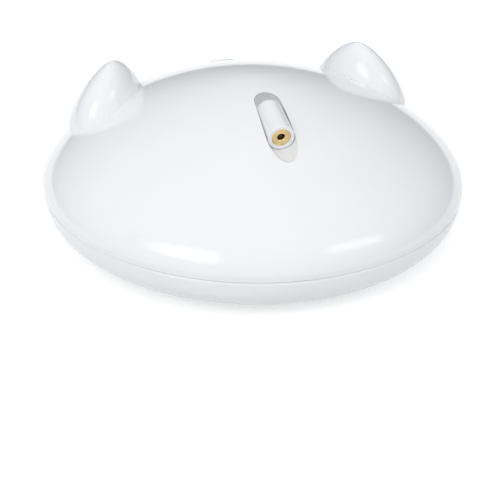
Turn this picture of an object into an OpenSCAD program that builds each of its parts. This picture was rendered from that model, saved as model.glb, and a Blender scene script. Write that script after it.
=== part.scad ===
// Automatic laser toy for cats: a white dome with two moulded ears and a laser barrel that
// nods up and down in a slot near the top. Millimetres, +Z up, resting on z = 0.
// The front faces -Y. The origin is on the floor, in the middle of the round body.

/* [Body] */
// Diameter of the round body at its widest
body_d = 150; // [144:1:158]
// Height of the widest line above the bottom of the lower shell
side_h = 17.1; // [16:0.1:19]
// Height of the dome above the widest line
dome_h = 35.8; // [34:0.1:40]
// Fullness of the dome's curve, where 2 is an ellipse
dome_power = 1.534; // [1.45:0.002:1.7]
// Fullness of the lower shell's side curve, where 2 is an ellipse
side_power = 2.77; // [2.4:0.01:3.2]
// Diameter of the flat under the lower shell
base_flat_d = 99; // [96:1:106]
// Height of the parting line above the bottom of the lower shell
seam_h = 15; // [14.4:0.1:15.8]
// Wall thickness of both shells
wall = 2.2; // [1.8:0.1:2.6]
// Height of the lower shell's locating lip
lip_h = 2; // [1.4:0.1:3]
// Thickness of the locating lip
lip_t = 1; // [0.8:0.1:1.2]

/* [Ears] */
// Distance of each ear's foot from the middle plane
ear_x = 50.1; // [48:0.1:52]
// Distance of each ear's foot behind the body's centre
ear_y = 23.2; // [20:0.1:26]
// Width of an ear's foot, along the rim
ear_w = 42.4; // [38:0.2:46]
// Thickness of an ear's foot, across the rim
ear_t = 27.2; // [24:0.2:30]
// Direction of an ear's width, in degrees from +X
ear_turn = 102; // [95:1:110]
// How far the tip leans towards the middle plane
ear_lean_in = 5; // [3:0.1:7]
// How far the tip leans forwards
ear_lean_front = 1.6; // [0:0.1:3]
// Height at which an ear starts to narrow, above the bottom of the lower shell
ear_start_h = 27.7; // [26:0.1:29]
// Height of an ear's tip above the bottom of the lower shell
ear_tip_h = 54.6; // [52:0.1:57]
// Wall thickness of the hollow ears
ear_wall = 2.4; // [2:0.1:3]

/* [Laser barrel] */
// Outer diameter of the barrel
tube_d = 8; // [7.6:0.1:8.6]
// Length of the barrel
tube_len = 21.3; // [20:0.1:23]
// Radius of the barrel's rounded rear edge
tube_round = 2.6; // [2:0.1:3.4]
// Angle of the barrel below the horizontal at its lowest
beam_pitch = 9.6; // [8:0.1:11]
// Distance of the barrel's face in front of the body's centre
nose_out = 37.5; // [36:0.1:39]
// Height of the middle of the barrel's face above the bottom of the lower shell
nose_h = 46.3; // [46:0.1:47]
// Outer diameter of the brass laser housing
brass_d = 6; // [5.6:0.1:6.2]
// Length of the brass laser housing
brass_len = 13; // [12:0.1:15]
// Diameter of the hole that the beam leaves by
aperture_d = 2.4; // [1.8:0.1:3]
// Depth of the brass face behind the barrel's rim
face_set = 0.3; // [0.1:0.1:0.6]
// Diameter of the bore inside the brass housing
optic_d = 4.4; // [4.2:0.1:4.6]
// Thickness of the brass face
face_t = 1; // [0.8:0.1:1.4]
// Thickness of the collimating lens
lens_t = 1.8; // [1.4:0.1:2.2]
// Length of the spring behind the lens
lens_spring_len = 3.2; // [2.6:0.1:3.6]
// Diameter of the laser diode's can
diode_d = 3.3; // [3:0.1:3.6]
// Length of the laser diode's can
diode_len = 2.6; // [2:0.1:3]

/* [Slot] */
// Clearance between the barrel and the trough it lies in
slot_gap = 0.6; // [0.5:0.05:0.8]
// Free length of the trough behind the barrel
slot_back = 3.1; // [2.6:0.1:3.6]
// Wall thickness of the trough under the dome
slot_wall = 1.5; // [1.2:0.1:1.8]

/* [Tilt] */
// How far the barrel nods up from its lowest place, in degrees
tilt_max = 8; // [6:0.5:8]
// Depth of the tilt axle below the barrel's axis
pivot_drop = 10.5; // [10.4:0.1:11.2]
// Thickness of the blade that joins the barrel to its axle
blade_t = 2.6; // [2.2:0.1:3]
// Distance of the blade's front edge behind the barrel's face
blade_front = 8; // [7:0.1:10]
// Diameter of the tilt axle and of the gear axles
axle_d = 2; // [1.6:0.1:2.4]
// Radial running clearance of a part on its axle
run_gap = 0.05; // [0.03:0.01:0.09]
// Diameter of the cradle's hub
hub_d = 6.2; // [5.6:0.1:6.4]
// Thickness of the toothed sector
sector_t = 3; // [2.4:0.1:3.4]

/* [Gears] */
// Module of every gear: its pitch diameter over its number of teeth
gear_module = 0.5; // [0.48:0.01:0.52]
// Teeth on each pinion
pinion_teeth = 12; // [12:1:13]
// Teeth on each large gear
wheel_teeth = 40; // [38:1:41]
// Teeth that a full circle of the sector would have
sector_teeth = 68; // [66:1:70]
// Free space between two meshed teeth
backlash = 0.2; // [0.16:0.01:0.24]
// Face width of each large gear
wheel_t = 2.5; // [2:0.1:2.6]
// Direction of the second gear from the tilt axle, in degrees from +Y
second_dir = 252.5; // [250:0.5:255]
// Direction of the first gear from the second gear
first_dir = 200; // [197:1:203]
// Direction of the motor from the first gear
motor_dir = 102; // [99:1:106]

/* [Gearbox] */
// Clear width between the two gearbox plates
box_w = 13.2; // [13:0.1:14]
// Thickness of each gearbox plate
plate_t = 1.6; // [1.4:0.1:2]
// Thickness of the feet that the gearbox stands on
box_foot_t = 1.8; // [1.6:0.1:2.4]
// Height of the posts under the gearbox, above the lower shell's floor
box_post_h = 2.6; // [2.2:0.1:3.4]
// Width of the motor's can
motor_w = 12; // [11.6:0.1:12.4]
// Height of the motor's can across its flats
motor_flat = 10; // [9.6:0.1:10.4]
// Length of the motor's can
motor_len = 15; // [14:0.1:17]
// Diameter of the motor's shaft
shaft_d = 1; // [0.9:0.05:1.2]

/* [Power button] */
// Distance of the button behind the body's centre
button_y = 52; // [50:0.5:54]
// Diameter of the button
button_d = 10; // [9:0.1:11]
// How far the button stands proud of the dome
button_proud = 0.9; // [0.8:0.1:1.4]
// Travel of the button
button_travel = 0.8; // [0.6:0.05:0.8]
// Gap between the button and its hole
button_gap = 0.15; // [0.1:0.05:0.25]
// Side of the square push switch
switch_w = 6; // [5.6:0.1:6.4]

/* [Batteries] */
// Diameter of one AAA cell
cell_d = 10.5; // [10.3:0.1:10.7]
// Length of one AAA cell
cell_len = 44.5; // [44:0.1:45]
// Number of cells, which are wired in series
cell_count = 3; // [3:1:3]
// Distance of the battery bay's middle behind the body's centre
bay_y = 14; // [13:0.5:15]
// Length left for the spring behind each cell
cell_spring_len = 5.7; // [5:0.1:6.4]
// Thickness of the battery door
door_t = 1.7; // [1.5:0.1:2]
// Gap around the battery door
door_gap = 0.3; // [0.2:0.05:0.5]

/* [Feet and screws] */
// Diameter of each rubber foot
foot_d = 9; // [8:0.5:10]
// How far the feet stand proud of the lower shell
foot_proud = 1.2; // [1:0.1:1.8]
// Depth of the pocket that each foot is glued into
foot_sunk = 0.8; // [0.6:0.1:1]
// Diameter of the circle that the feet lie on
foot_circle_d = 88; // [84:1:92]
// Diameter of the shank of every screw
screw_d = 1.9; // [1.7:0.1:2.1]
// Diameter of the head of every screw
screw_head_d = 4.2; // [3.8:0.1:4.6]
// Distance of the case screws from the body's centre
case_screw_r = 56.6; // [55:0.2:58]

/* [Circuit board] */
// Length of the main circuit board, left to right
board_w = 30; // [28:1:32]
// Depth of the main circuit board, front to back
board_l = 26; // [24:1:28]
// Thickness of both circuit boards
board_t = 1.2; // [1:0.1:1.6]
// Height of the main board's posts, above the lower shell's floor
board_post_h = 5; // [4:0.5:7]

/* [Hidden] */

$fn = 64;
eps = 0.01;
body_r = body_d / 2;
base_z = foot_proud;
wide_z = base_z + side_h;
seam_z = base_z + seam_h;
floor_z = base_z + wall;
curve_steps = 30;
side_steps = 12;

// One point of the side's curve below the widest line, from 0 there to 90 at the flat.
function side_point(inset, a) =
    let (flat = base_flat_d / 2 - inset, reach = body_r - inset - flat)
    [flat + reach * pow(cos(a), 2 / side_power),
     wide_z - (side_h - inset) * pow(sin(a), 2 / side_power)];

// One point of the dome's curve, from 0 at the widest line to 90 at the top.
function dome_point(inset, a) =
    [(body_r - inset) * pow(cos(a), 2 / dome_power),
     wide_z + (dome_h - inset) * pow(sin(a), 2 / dome_power)];

// The angle at which the side's curve passes the height z.
function side_angle(inset, z) = asin(pow((wide_z - z) / (side_h - inset), side_power / 2));

// Height of the dome's surface at a distance r from the middle.
function dome_z(r, inset = 0) =
    wide_z + (dome_h - inset) * pow(1 - pow(r / (body_r - inset), dome_power), 1 / dome_power);

// The whole space inside the dome's curve, down to the height z.
module dome_form(inset, z) {
    from = side_angle(inset, z);
    rotate_extrude() polygon(concat(
        [[0, z]],
        [for (i = [0 : 3]) side_point(inset, from * (1 - i / 4))],
        [for (i = [0 : curve_steps - 1]) dome_point(inset, 90 * i / curve_steps)],
        [[0, wide_z + dome_h - inset]]));
}

// The whole space inside the lower shell's curve, up to the parting line.
module pan_form(inset) {
    to = side_angle(inset, seam_z);
    rotate_extrude() polygon(concat(
        [[0, base_z + inset]],
        [for (i = [0 : side_steps]) side_point(inset, 90 + (to - 90) * i / side_steps)],
        [[0, seam_z]]));
}

// ---- Ears ----
ear_root_z = wide_z + 1;
ear_rise = 2.6;   // how long an ear keeps its width on the way up
ear_close = 1.17; // how round an ear closes at its tip

// The n corners of one ring of the right ear, at s from 0 at its foot to 1 at its tip.
function ear_ring(s, z, inset, n) =
    let (k = pow(1 - pow(s, ear_rise), 1 / ear_close),
         a = (ear_w / 2 - inset) * k,
         b = (ear_t / 2 - inset) * k)
    [for (i = [0 : n - 1])
        let (t = 360 * i / n, u = a * cos(t), v = b * sin(t))
        [ear_x - ear_lean_in * s + u * cos(ear_turn) - v * sin(ear_turn),
         ear_y - ear_lean_front * s + u * sin(ear_turn) + v * cos(ear_turn),
         z]];

// A closed loft through the rings of one ear, ended by a point at its tip.
module ear(inset, n, rings) {
    low = base_z + ear_start_h;
    high = base_z + ear_tip_h - inset;
    points = concat(
        ear_ring(0, ear_root_z, inset, n),
        [for (i = [0 : rings - 1])
            let (s = sin(90 * i / rings)) each ear_ring(s, low + (high - low) * s, inset, n)],
        [[ear_x - ear_lean_in, ear_y - ear_lean_front, high]]);
    sides = [for (r = [0 : rings - 1], i = [0 : n - 1])
        let (a = r * n + i, b = r * n + (i + 1) % n) each [[a, a + n, b], [b, a + n, b + n]]];
    tip = [for (i = [0 : n - 1])
        [rings * n + i, (rings + 1) * n, rings * n + (i + 1) % n]];
    polyhedron(points, concat([[for (i = [0 : n - 1]) i]], sides, tip));
}

module ears(inset, n, rings) {
    ear(inset, n, rings);
    mirror([1, 0, 0]) ear(inset, n, rings);
}

// ---- Places of the barrel, the axles and the button ----
tube_r = tube_d / 2;
slot_r = tube_r + slot_gap;
nose_z = base_z + nose_h;

// Moves a child drawn along +Z, with +Y up, onto the barrel's axis: z = 0 is the barrel's face.
module on_beam() translate([0, -nose_out, nose_z]) rotate([90 + beam_pitch, 0, 0]) children();

// A place beside the barrel's axis: back along it and down from it, as [y, z].
function beam_place(back, down) =
    [-nose_out + back * cos(beam_pitch) + down * sin(beam_pitch),
     nose_z + back * sin(beam_pitch) - down * cos(beam_pitch)];

// A child drawn in the plane of Y and Z, extruded along +X.
module along_x(x, t) translate([x, 0, 0]) rotate([90, 0, 90]) linear_extrude(t) children();

function polar(c, r, a) = [c[0] + r * cos(a), c[1] + r * sin(a)];
function pitch_r(teeth) = gear_module * teeth / 2;

sector_r = pitch_r(sector_teeth);
pair_gap = pitch_r(wheel_teeth) + pitch_r(pinion_teeth);
tilt_at = beam_place(tube_len, pivot_drop);
second_at = polar(tilt_at, sector_r + pitch_r(pinion_teeth), second_dir);
first_at = polar(second_at, pair_gap, first_dir);
motor_at = polar(first_at, pair_gap, motor_dir);
run_r = axle_d / 2 + run_gap;
plate_x = box_w / 2;
side_gap = 0.3;
hub_x = plate_x - side_gap;

button_slope = atan((dome_z(button_y - 0.1) - dome_z(button_y + 0.1)) / 0.2);
// Moves a child drawn along +Z onto the button's axis: z = 0 is the dome's surface.
module on_button() translate([0, button_y, dome_z(button_y)]) rotate([-button_slope, 0, 0]) children();

// ---- Shared fastenings ----
head_t = 1.4;
post_r = 3;
screw_free_r = screw_d / 2 + 0.3;

// A pan-head screw that points up, with the underside of its head at z = 0.
module screw(length) {
    difference() {
        translate([0, 0, -head_t]) cylinder(d = screw_head_d, h = head_t);
        translate([0, 0, -head_t - eps]) cylinder(r = screw_d * 0.42, h = head_t / 2, $fn = 6);
    }
    cylinder(d = screw_d, h = length);
}

// ---- Upper shell ----
case_screw_dirs = [58, 122, 222, 318];
boss_r = 3.4;
boss_end_z = base_z + 13;
guide_r = button_d / 2 + 2.4;
guide_len = 3.2;
switch_top = -6.6;
switch_h = 3.4;
switch_board_top = switch_top - switch_h;
switch_post_x = 8.6;
switch_post_r = 2.1;

module at_case_screws(z) for (a = case_screw_dirs)
    translate([case_screw_r * cos(a), case_screw_r * sin(a), z]) children();

// The trough's space: a round channel along the barrel with a ball-shaped rear end.
module trough(r) on_beam() {
    translate([0, 0, -tube_len - slot_back + slot_r]) cylinder(r = r, h = tube_len + 24);
    translate([0, 0, -tube_len - slot_back + slot_r]) sphere(r = r);
}

// The slit in the trough's floor that the barrel's blade passes through.
module blade_slit() {
    w = blade_t + 1;
    back = 3.2;
    on_beam() translate([-w / 2, -slot_r - slot_wall - 2, -tube_len - back])
        cube([w, slot_wall + 4, tube_len + back - blade_front + 1.2]);
}

module upper_shell() color("white") difference() {
    union() {
        difference() {
            union() {
                dome_form(0, seam_z);
                ears(0, 28, 9);
            }
            translate([0, 0, -eps]) dome_form(wall, seam_z);
            ears(ear_wall, 16, 5);
        }
        intersection() {
            dome_form(wall / 2, seam_z);
            union() {
                trough(slot_r + slot_wall);
                on_button() translate([0, 0, -guide_len]) cylinder(r = guide_r, h = guide_len + 2);
                on_button() for (s = [-1, 1]) translate([s * switch_post_x, 0, switch_board_top])
                    cylinder(r = switch_post_r, h = -switch_board_top + 4);
                at_case_screws(seam_z) cylinder(r = boss_r, h = dome_h);
            }
        }
        at_case_screws(boss_end_z) cylinder(r = boss_r, h = seam_z - boss_end_z + 2);
    }
    trough(slot_r);
    blade_slit();
    on_button() translate([0, 0, -guide_len - 1]) cylinder(d = button_d + 2 * button_gap, h = guide_len + 5);
    on_button() for (s = [-1, 1]) translate([s * switch_post_x, 0, switch_board_top - eps])
        cylinder(d = screw_d, h = 6);
    at_case_screws(boss_end_z - eps) cylinder(d = screw_d, h = 10);
}

// ---- Lower shell ----
cell_pitch = cell_d + 0.5;
contact_t = 0.4;
bay_w = cell_len + cell_spring_len + 2 * contact_t;
bay_l = cell_pitch * cell_count + 0.5;
bay_wall = 1.6;
ledge_t = 2;
door_top = base_z + door_t;
bay_top = door_top + ledge_t + cell_d + 0.6;
cell_z = door_top + 0.6 + cell_d / 2;
door_w = bay_w + 5;
door_screw_gap = 3.2;
door_l = bay_l + 4 * door_screw_gap;
door_boss_h = 9;
well_r = screw_head_d / 2 + 0.5;
well_top = base_z + 9;
foot_dirs = [40, 140, 220, 320];
box_foot_x = plate_x + plate_t + 5;
wheel_tip_r = pitch_r(wheel_teeth) + 0.75 * gear_module;
spacer_r = 2.2;
spacer_at = [polar(motor_at, 9.2, 155), polar(second_at, wheel_tip_r + spacer_r + 1, 305),
             polar(second_at, wheel_tip_r + spacer_r + 1, 35)];
box_front = first_at[0] - wheel_tip_r - 3.5;
box_rear = spacer_at[2][0] + spacer_r + 0.9;
box_top = spacer_at[0][1] + spacer_r + 0.6;
box_post_at = [for (side = [-1, 1], y = [box_front + 5.5, box_rear - 8]) [side, y]];
box_base_z = floor_z + box_post_h;
board_x = 19;
board_y = -5;
board_hole = 2.6;
board_z = floor_z + board_post_h;

module at_feet(z) for (a = foot_dirs)
    translate([foot_circle_d / 2 * cos(a), foot_circle_d / 2 * sin(a), z]) children();

module at_door_screws(z) for (s = [-1, 1])
    translate([0, bay_y + s * (bay_l / 2 + door_screw_gap), z]) children();

module at_box_posts(z) for (p = box_post_at) translate([p[0] * box_foot_x, p[1], z]) children();

module at_board_posts(z) for (x = [board_hole, board_w - board_hole], y = [board_hole, board_l - board_hole])
    translate([board_x + x, board_y - y, z]) children();

// A plain block centred on the battery bay, from z to the height top.
module bay_block(w, l, z, top) translate([-w / 2, bay_y - l / 2, z]) cube([w, l, top - z]);

module lower_shell() color("white") difference() {
    union() {
        difference() {
            pan_form(0);
            translate([0, 0, eps]) pan_form(wall);
        }
        // The locating lip stands inside the upper shell.
        translate([0, 0, seam_z - 3]) difference() {
            cylinder(r = body_r - wall - 0.2, h = lip_h + 3);
            translate([0, 0, -eps]) cylinder(r = body_r - wall - 0.2 - lip_t, h = lip_h + 4);
            translate([0, 0, -eps]) cylinder(r1 = body_r - wall + 1, r2 = body_r - wall - 1.2 - lip_t, h = 1.8);
        }
        at_case_screws(base_z + 1) cylinder(r = boss_r + 1, h = boss_end_z - base_z - 1);
        bay_block(bay_w + 2 * bay_wall, bay_l + 2 * bay_wall, floor_z - eps, bay_top);
        bay_block(door_w + 3, door_l + 3, floor_z - eps, door_top + ledge_t);
        at_door_screws(floor_z - eps) cylinder(r = post_r, h = door_boss_h);
        at_box_posts(floor_z - eps) cylinder(r = post_r, h = box_post_h + eps);
        at_board_posts(floor_z - eps) cylinder(r = post_r - 0.6, h = board_post_h + eps);
    }
    bay_block(door_w + 2 * door_gap, door_l + 2 * door_gap, base_z - 1, door_top);
    bay_block(bay_w, bay_l, base_z, bay_top + 1);
    at_case_screws(base_z - 1) cylinder(r = well_r, h = well_top - base_z + 1);
    at_case_screws(base_z) cylinder(r = screw_free_r, h = boss_end_z);
    at_door_screws(base_z) cylinder(r = screw_d / 2 + run_gap, h = door_boss_h);
    at_box_posts(floor_z) cylinder(d = screw_d, h = box_post_h + 1);
    at_board_posts(floor_z + 0.4) cylinder(d = screw_d, h = board_post_h);
    at_feet(base_z - eps) cylinder(d = foot_d, h = foot_sunk + eps);
}

module rubber_feet() color("dimgray") at_feet(0) rotate_extrude()
    polygon([[0, 0], [foot_d / 2 - 0.6, 0], [foot_d / 2, 0.6],
             [foot_d / 2, foot_proud + foot_sunk], [0, foot_proud + foot_sunk]]);

module case_screws() color("silver") at_case_screws(well_top) screw(boss_end_z - well_top + 9);

// ---- Battery bay ----
module battery_door() color("white") difference() {
    union() {
        bay_block(door_w, door_l, base_z, door_top);
        // Two ribs on the inside keep the cells from shifting.
        for (s = [-1, 1]) translate([s * cell_len / 4 - 0.8, bay_y - bay_l / 2 + 1, door_top - eps])
            cube([1.6, bay_l - 2, 0.4]);
    }
    at_door_screws(base_z - 1) cylinder(r = screw_free_r, h = door_t + 2);
    at_door_screws(base_z - 1) cylinder(d = screw_head_d + 0.4, h = 1 + door_t / 2);
}

module door_screws() color("silver") at_door_screws(base_z + door_t / 2) {
    difference() {
        translate([0, 0, -0.8]) cylinder(d = screw_head_d, h = 0.8);
        translate([-screw_head_d, -0.3, -0.8 - eps]) cube([2 * screw_head_d, 0.6, 0.4]);
    }
    cylinder(d = screw_d, h = 6);
}

nub_len = 1;
// The cells lie along X in turn one way and the other; +1 has its nub at +X.
function cell_way(i) = i % 2 == 0 ? 1 : -1;
function cell_y(i) = bay_y + (i - (cell_count - 1) / 2) * cell_pitch;

// Moves a child drawn along +Z, nub up, onto the axis of cell i, with z = 0 at its flat end.
module on_cell(i) translate([cell_way(i) * (bay_w / 2 - contact_t - cell_len), cell_y(i), cell_z])
    rotate([0, 90 * cell_way(i), 0]) children();

module cell(i) color(i % 2 == 0 ? "dimgray" : "darkgray") on_cell(i) rotate_extrude()
    polygon([[0, 0], [cell_d / 2 - 1.2, 0], [cell_d / 2 - 1, 0.3], [cell_d / 2 - 0.3, 0.3],
             [cell_d / 2, 0.6], [cell_d / 2, cell_len - nub_len - 0.6],
             [cell_d / 2 - 0.6, cell_len - nub_len], [1.9, cell_len - nub_len],
             [1.9, cell_len - 0.3], [1.6, cell_len], [0, cell_len]]);
module cell_1() cell(0);
module cell_2() cell(1);
module cell_3() cell(2);

// One wire wound into a cone-shaped spring along +Z, from radius r1 to r2.
module coil(r1, r2, height, turns, d, sides = 6, steps = 12) {
    n = turns * steps;
    pts = [for (i = [0 : n]) let (a = 360 * i / steps, r = r1 + (r2 - r1) * i / n,
                                  z = d / 2 + (height - d) * i / n)
        for (j = [0 : sides - 1]) let (b = 360 * j / sides)
            [(r + d / 2 * cos(b)) * cos(a), (r + d / 2 * cos(b)) * sin(a), z + d / 2 * sin(b)]];
    skin = [for (i = [0 : n - 1], j = [0 : sides - 1])
        let (a = i * sides + j, b = i * sides + (j + 1) % sides)
        each [[a, b, a + sides], [b, b + sides, a + sides]]];
    polyhedron(pts, concat([[for (j = [sides - 1 : -1 : 0]) j]], skin,
                           [[for (j = [0 : sides - 1]) n * sides + j]]));
}

module contact_springs() color("silver") for (i = [0 : cell_count - 1])
    on_cell(i) translate([0, 0, -cell_spring_len]) coil(3.4, 2.2, cell_spring_len, 4, 0.6);

module contact_plates() color("silver") for (i = [0 : cell_count - 1]) on_cell(i)
    for (z = [-cell_spring_len - contact_t, cell_len])
        translate([-cell_d / 2 + 1, -cell_d / 2 + 1, z]) cube([cell_d - 2, cell_d - 2, contact_t]);

// ---- Gears ----
pressure = 20;
tip_h = 0.75 * gear_module;
root_h = 1.1 * gear_module;
flank_steps = 3;

// The roll angle of the involute at radius r, and the turn of its point from its start.
function roll(rb, r) = sqrt(pow(r / rb, 2) - 1);
function involute(rb, r) = roll(rb, r) * 180 / PI - atan(roll(rb, r));

// Points of one tooth centred on the angle a, from its left root to its right root.
function tooth(teeth, a) =
    let (rp = pitch_r(teeth), rb = rp * cos(pressure), ra = rp + tip_h, rr = rp - root_h,
         half = 90 / teeth - backlash / 4 / rp * 180 / PI + involute(rb, rp),
         r0 = max(rb, rr),
         rise = [for (i = [0 : flank_steps]) let (r = r0 + (ra - r0) * i / flank_steps)
                 [r, half - involute(rb, r)]])
    concat([polar([0, 0], rr, a - half)],
           [for (p = rise) polar([0, 0], p[0], a - p[1])],
           [for (i = [flank_steps : -1 : 0]) polar([0, 0], rise[i][0], a + rise[i][1])],
           [polar([0, 0], rr, a + half)]);

// Outline of a whole gear with one tooth centred on the angle a.
module gear_outline(teeth, a = 0)
    polygon([for (i = [0 : teeth - 1]) each tooth(teeth, a + 360 * i / teeth)]);

// A gap of this gear centred on the angle a.
function gap_at(teeth, a) = a + 180 / teeth;

hub_r = 2;
pinion_w = 4.4;
second_wheel_x = 3;
first_wheel_x = -second_wheel_x - wheel_t;
first_pinion_x = second_wheel_x - 0.4;

module gear_at(at, x, t) translate([0, at[0], at[1]]) along_x(x, t) children();

module second_gear() color("ivory") difference() {
    union() {
        gear_at(second_at, -pinion_w / 2, pinion_w)
            gear_outline(pinion_teeth, gap_at(pinion_teeth, second_dir + 180));
        gear_at(second_at, second_wheel_x, wheel_t)
            gear_outline(wheel_teeth, gap_at(wheel_teeth, first_dir));
        gear_at(second_at, -hub_x, 2 * hub_x) circle(r = hub_r);
        gear_at(second_at, 0, second_wheel_x + 1) circle(r = pitch_r(pinion_teeth) - root_h);
    }
    gear_at(second_at, -hub_x - 1, 2 * hub_x + 2) circle(r = run_r);
}

module first_gear() color("ivory") difference() {
    union() {
        gear_at(first_at, first_pinion_x, wheel_t + 0.8)
            gear_outline(pinion_teeth, first_dir + 180);
        gear_at(first_at, first_wheel_x, wheel_t)
            gear_outline(wheel_teeth, gap_at(wheel_teeth, motor_dir));
        gear_at(first_at, -hub_x, 2 * hub_x) circle(r = hub_r);
    }
    gear_at(first_at, -hub_x - 1, 2 * hub_x + 2) circle(r = run_r);
}

module axle(at, d) gear_at(at, -plate_x - plate_t, 2 * (plate_x + plate_t)) circle(d = d);
module tilt_axle() color("silver") axle(tilt_at, axle_d);
module second_axle() color("silver") axle(second_at, axle_d);
module first_axle() color("silver") axle(first_at, axle_d);

// ---- Gearbox ----
tilt_eye_r = 4;
motor_boss_r = 2.5;

module plate_outline() difference() {
    union() {
        translate(tilt_at) circle(r = tilt_eye_r);
        polygon([[box_front, box_base_z], [box_rear, box_base_z],
                 [box_rear, spacer_at[2][1] + spacer_r + 0.9], tilt_at + [tilt_eye_r, 0],
                 tilt_at - [tilt_eye_r, 0], [second_at[0] - 9, box_top], [box_front, box_top]]);
    }
    for (at = [tilt_at, second_at, first_at]) translate(at) circle(d = axle_d);
}

// One foot of the gearbox on the outside of a plate, with its two screw holes.
module box_feet(side) for (p = box_post_at) if (p[0] == side) difference() {
    translate([side > 0 ? plate_x : -box_foot_x - post_r, p[1] - post_r, box_base_z])
        cube([box_foot_x + post_r - plate_x, 2 * post_r, box_foot_t]);
    translate([side * box_foot_x, p[1], box_base_z - 1]) cylinder(r = screw_free_r, h = box_foot_t + 2);
}

module gearbox_frame() color("gainsboro") {
    difference() {
        along_x(-plate_x - plate_t, plate_t) plate_outline();
        gear_at(motor_at, -plate_x - plate_t - 1, plate_t + 2) circle(r = motor_boss_r);
    }
    difference() {
        for (at = spacer_at) gear_at(at, -plate_x - eps, box_w + eps) circle(r = spacer_r);
        for (at = spacer_at) gear_at(at, plate_x - 6, 7) circle(d = screw_d);
    }
    box_feet(-1);
}

module gearbox_cover() color("gainsboro") {
    difference() {
        along_x(plate_x, plate_t) plate_outline();
        for (at = spacer_at) gear_at(at, plate_x - 1, plate_t + 2) circle(r = screw_free_r);
    }
    box_feet(1);
}

module gearbox_screws() color("silver") for (at = spacer_at)
    translate([plate_x + plate_t, at[0], at[1]]) rotate([0, -90, 0]) screw(plate_t + 5);

module gearbox_foot_screws() color("silver") at_box_posts(box_base_z + box_foot_t)
    rotate([180, 0, 0]) screw(box_foot_t + box_post_h - 0.2);

// ---- Motor ----
motor_x = -plate_x - plate_t;
can_t = 0.5;
cap_t = 1.8;
boss_len = 1;
shaft_run = 0.04;

module can_outline(inset) intersection() {
    circle(r = motor_w / 2 - inset);
    square([motor_w, motor_flat - 2 * inset], center = true);
}

module motor_can() color("silver") difference() {
    union() {
        gear_at(motor_at, motor_x - motor_len, motor_len) can_outline(0);
        gear_at(motor_at, motor_x - eps, boss_len + eps) circle(r = motor_boss_r);
    }
    gear_at(motor_at, motor_x - motor_len - 1, motor_len + 1 - can_t) can_outline(can_t);
    gear_at(motor_at, motor_x - 2, boss_len + 3) circle(r = shaft_d / 2 + shaft_run);
}

module motor_end_cap() color("ivory") difference() {
    gear_at(motor_at, motor_x - motor_len, cap_t) can_outline(can_t);
    gear_at(motor_at, motor_x - motor_len + 0.6, cap_t) circle(r = shaft_d / 2 + shaft_run);
}

module motor_armature() color("peru") difference() {
    union() {
        gear_at(motor_at, motor_x - motor_len + 5, motor_len - 7) difference() {
            circle(d = motor_flat - 2.4);
            for (a = [0, 120, 240]) rotate(a) translate([motor_flat / 2 - 2, -0.6]) square([3, 1.2]);
        }
        gear_at(motor_at, motor_x - motor_len + 2.4, 2.8) circle(r = 1.4);
    }
    gear_at(motor_at, motor_x - motor_len, motor_len) circle(d = shaft_d);
}

shaft_tip = first_wheel_x + wheel_t + 0.4;
module motor_shaft() color("silver")
    gear_at(motor_at, motor_x - motor_len + 0.8, shaft_tip - motor_x + motor_len - 0.8) circle(d = shaft_d);

module motor_pinion() color("gold") difference() {
    gear_at(motor_at, first_wheel_x - 0.4, wheel_t + 0.8) gear_outline(pinion_teeth, motor_dir + 180);
    gear_at(motor_at, first_wheel_x - 1, wheel_t + 2) circle(d = shaft_d);
}

// ---- Laser cradle and barrel ----
blade_foot_r = hub_d / 2 - 0.4;
sector_margin = 9;
sector_root_r = sector_r - root_h;
tooth_step = 360 / sector_teeth;
sector_low = second_dir - sector_margin;
sector_high = second_dir + tilt_max + sector_margin;

// Fan-shaped plate with the sector's teeth, whose middle tooth points at the second gear.
module sector_outline() {
    first = -floor(sector_margin / tooth_step);
    last = floor((tilt_max + sector_margin) / tooth_step);
    edge = tooth_step / 2;
    polygon(concat(
        [polar([0, 0], 2.2, sector_low - 20)],
        [polar([0, 0], sector_root_r, second_dir + first * tooth_step - edge)],
        [for (i = [first : last]) each tooth(sector_teeth, second_dir + i * tooth_step)],
        [polar([0, 0], sector_root_r, second_dir + last * tooth_step + edge)],
        [polar([0, 0], 2.2, sector_high + 20)]));
}

module laser_cradle() color("ivory") difference() {
    union() {
        gear_at(tilt_at, -hub_x, 2 * hub_x) circle(d = hub_d);
        gear_at(tilt_at, -sector_t / 2, sector_t) difference() {
            sector_outline();
            polygon([polar([0, 0], 7, sector_low + 5), polar([0, 0], 13.4, sector_low + 4),
                     polar([0, 0], 13.4, sector_high - 4), polar([0, 0], 7, sector_high - 5)]);
        }
    }
    gear_at(tilt_at, -hub_x - 1, 2 * hub_x + 2) circle(r = run_r);
    gear_at(tilt_at, -blade_t / 2, blade_t) {
        circle(r = blade_foot_r);
        rotate(beam_pitch) translate([-hub_d, 0]) square([2 * hub_d, hub_d]);
    }
}

// Side view of the blade: it hangs under the barrel and closes round the tilt axle.
module blade_outline() {
    front_top = beam_place(blade_front, tube_r - 0.5);
    rear_top = beam_place(tube_len - tube_round, tube_r - 0.5);
    difference() {
        union() {
            polygon([front_top, beam_place(blade_front + 1.5, tube_r + 2.4),
                     tilt_at - [blade_foot_r * 0.9, blade_foot_r * 0.1],
                     tilt_at + [blade_foot_r, 0], rear_top]);
            translate(tilt_at) circle(r = blade_foot_r - 0.1);
        }
        translate(tilt_at) circle(r = run_r);
    }
}

module laser_barrel() color("white") difference() {
    union() {
        on_beam() translate([0, 0, -tube_len]) rotate_extrude() polygon(concat(
            [[0, 0]],
            [for (i = [0 : 6]) [tube_r - tube_round + tube_round * sin(15 * i),
                                tube_round - tube_round * cos(15 * i)]],
            [[tube_r, tube_len - 0.4], [tube_r - 0.4, tube_len], [0, tube_len]]));
        along_x(-blade_t / 2, blade_t) blade_outline();
    }
    on_beam() translate([0, 0, -brass_len - face_set - 0.8]) cylinder(d = brass_d, h = tube_len);
}

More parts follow.
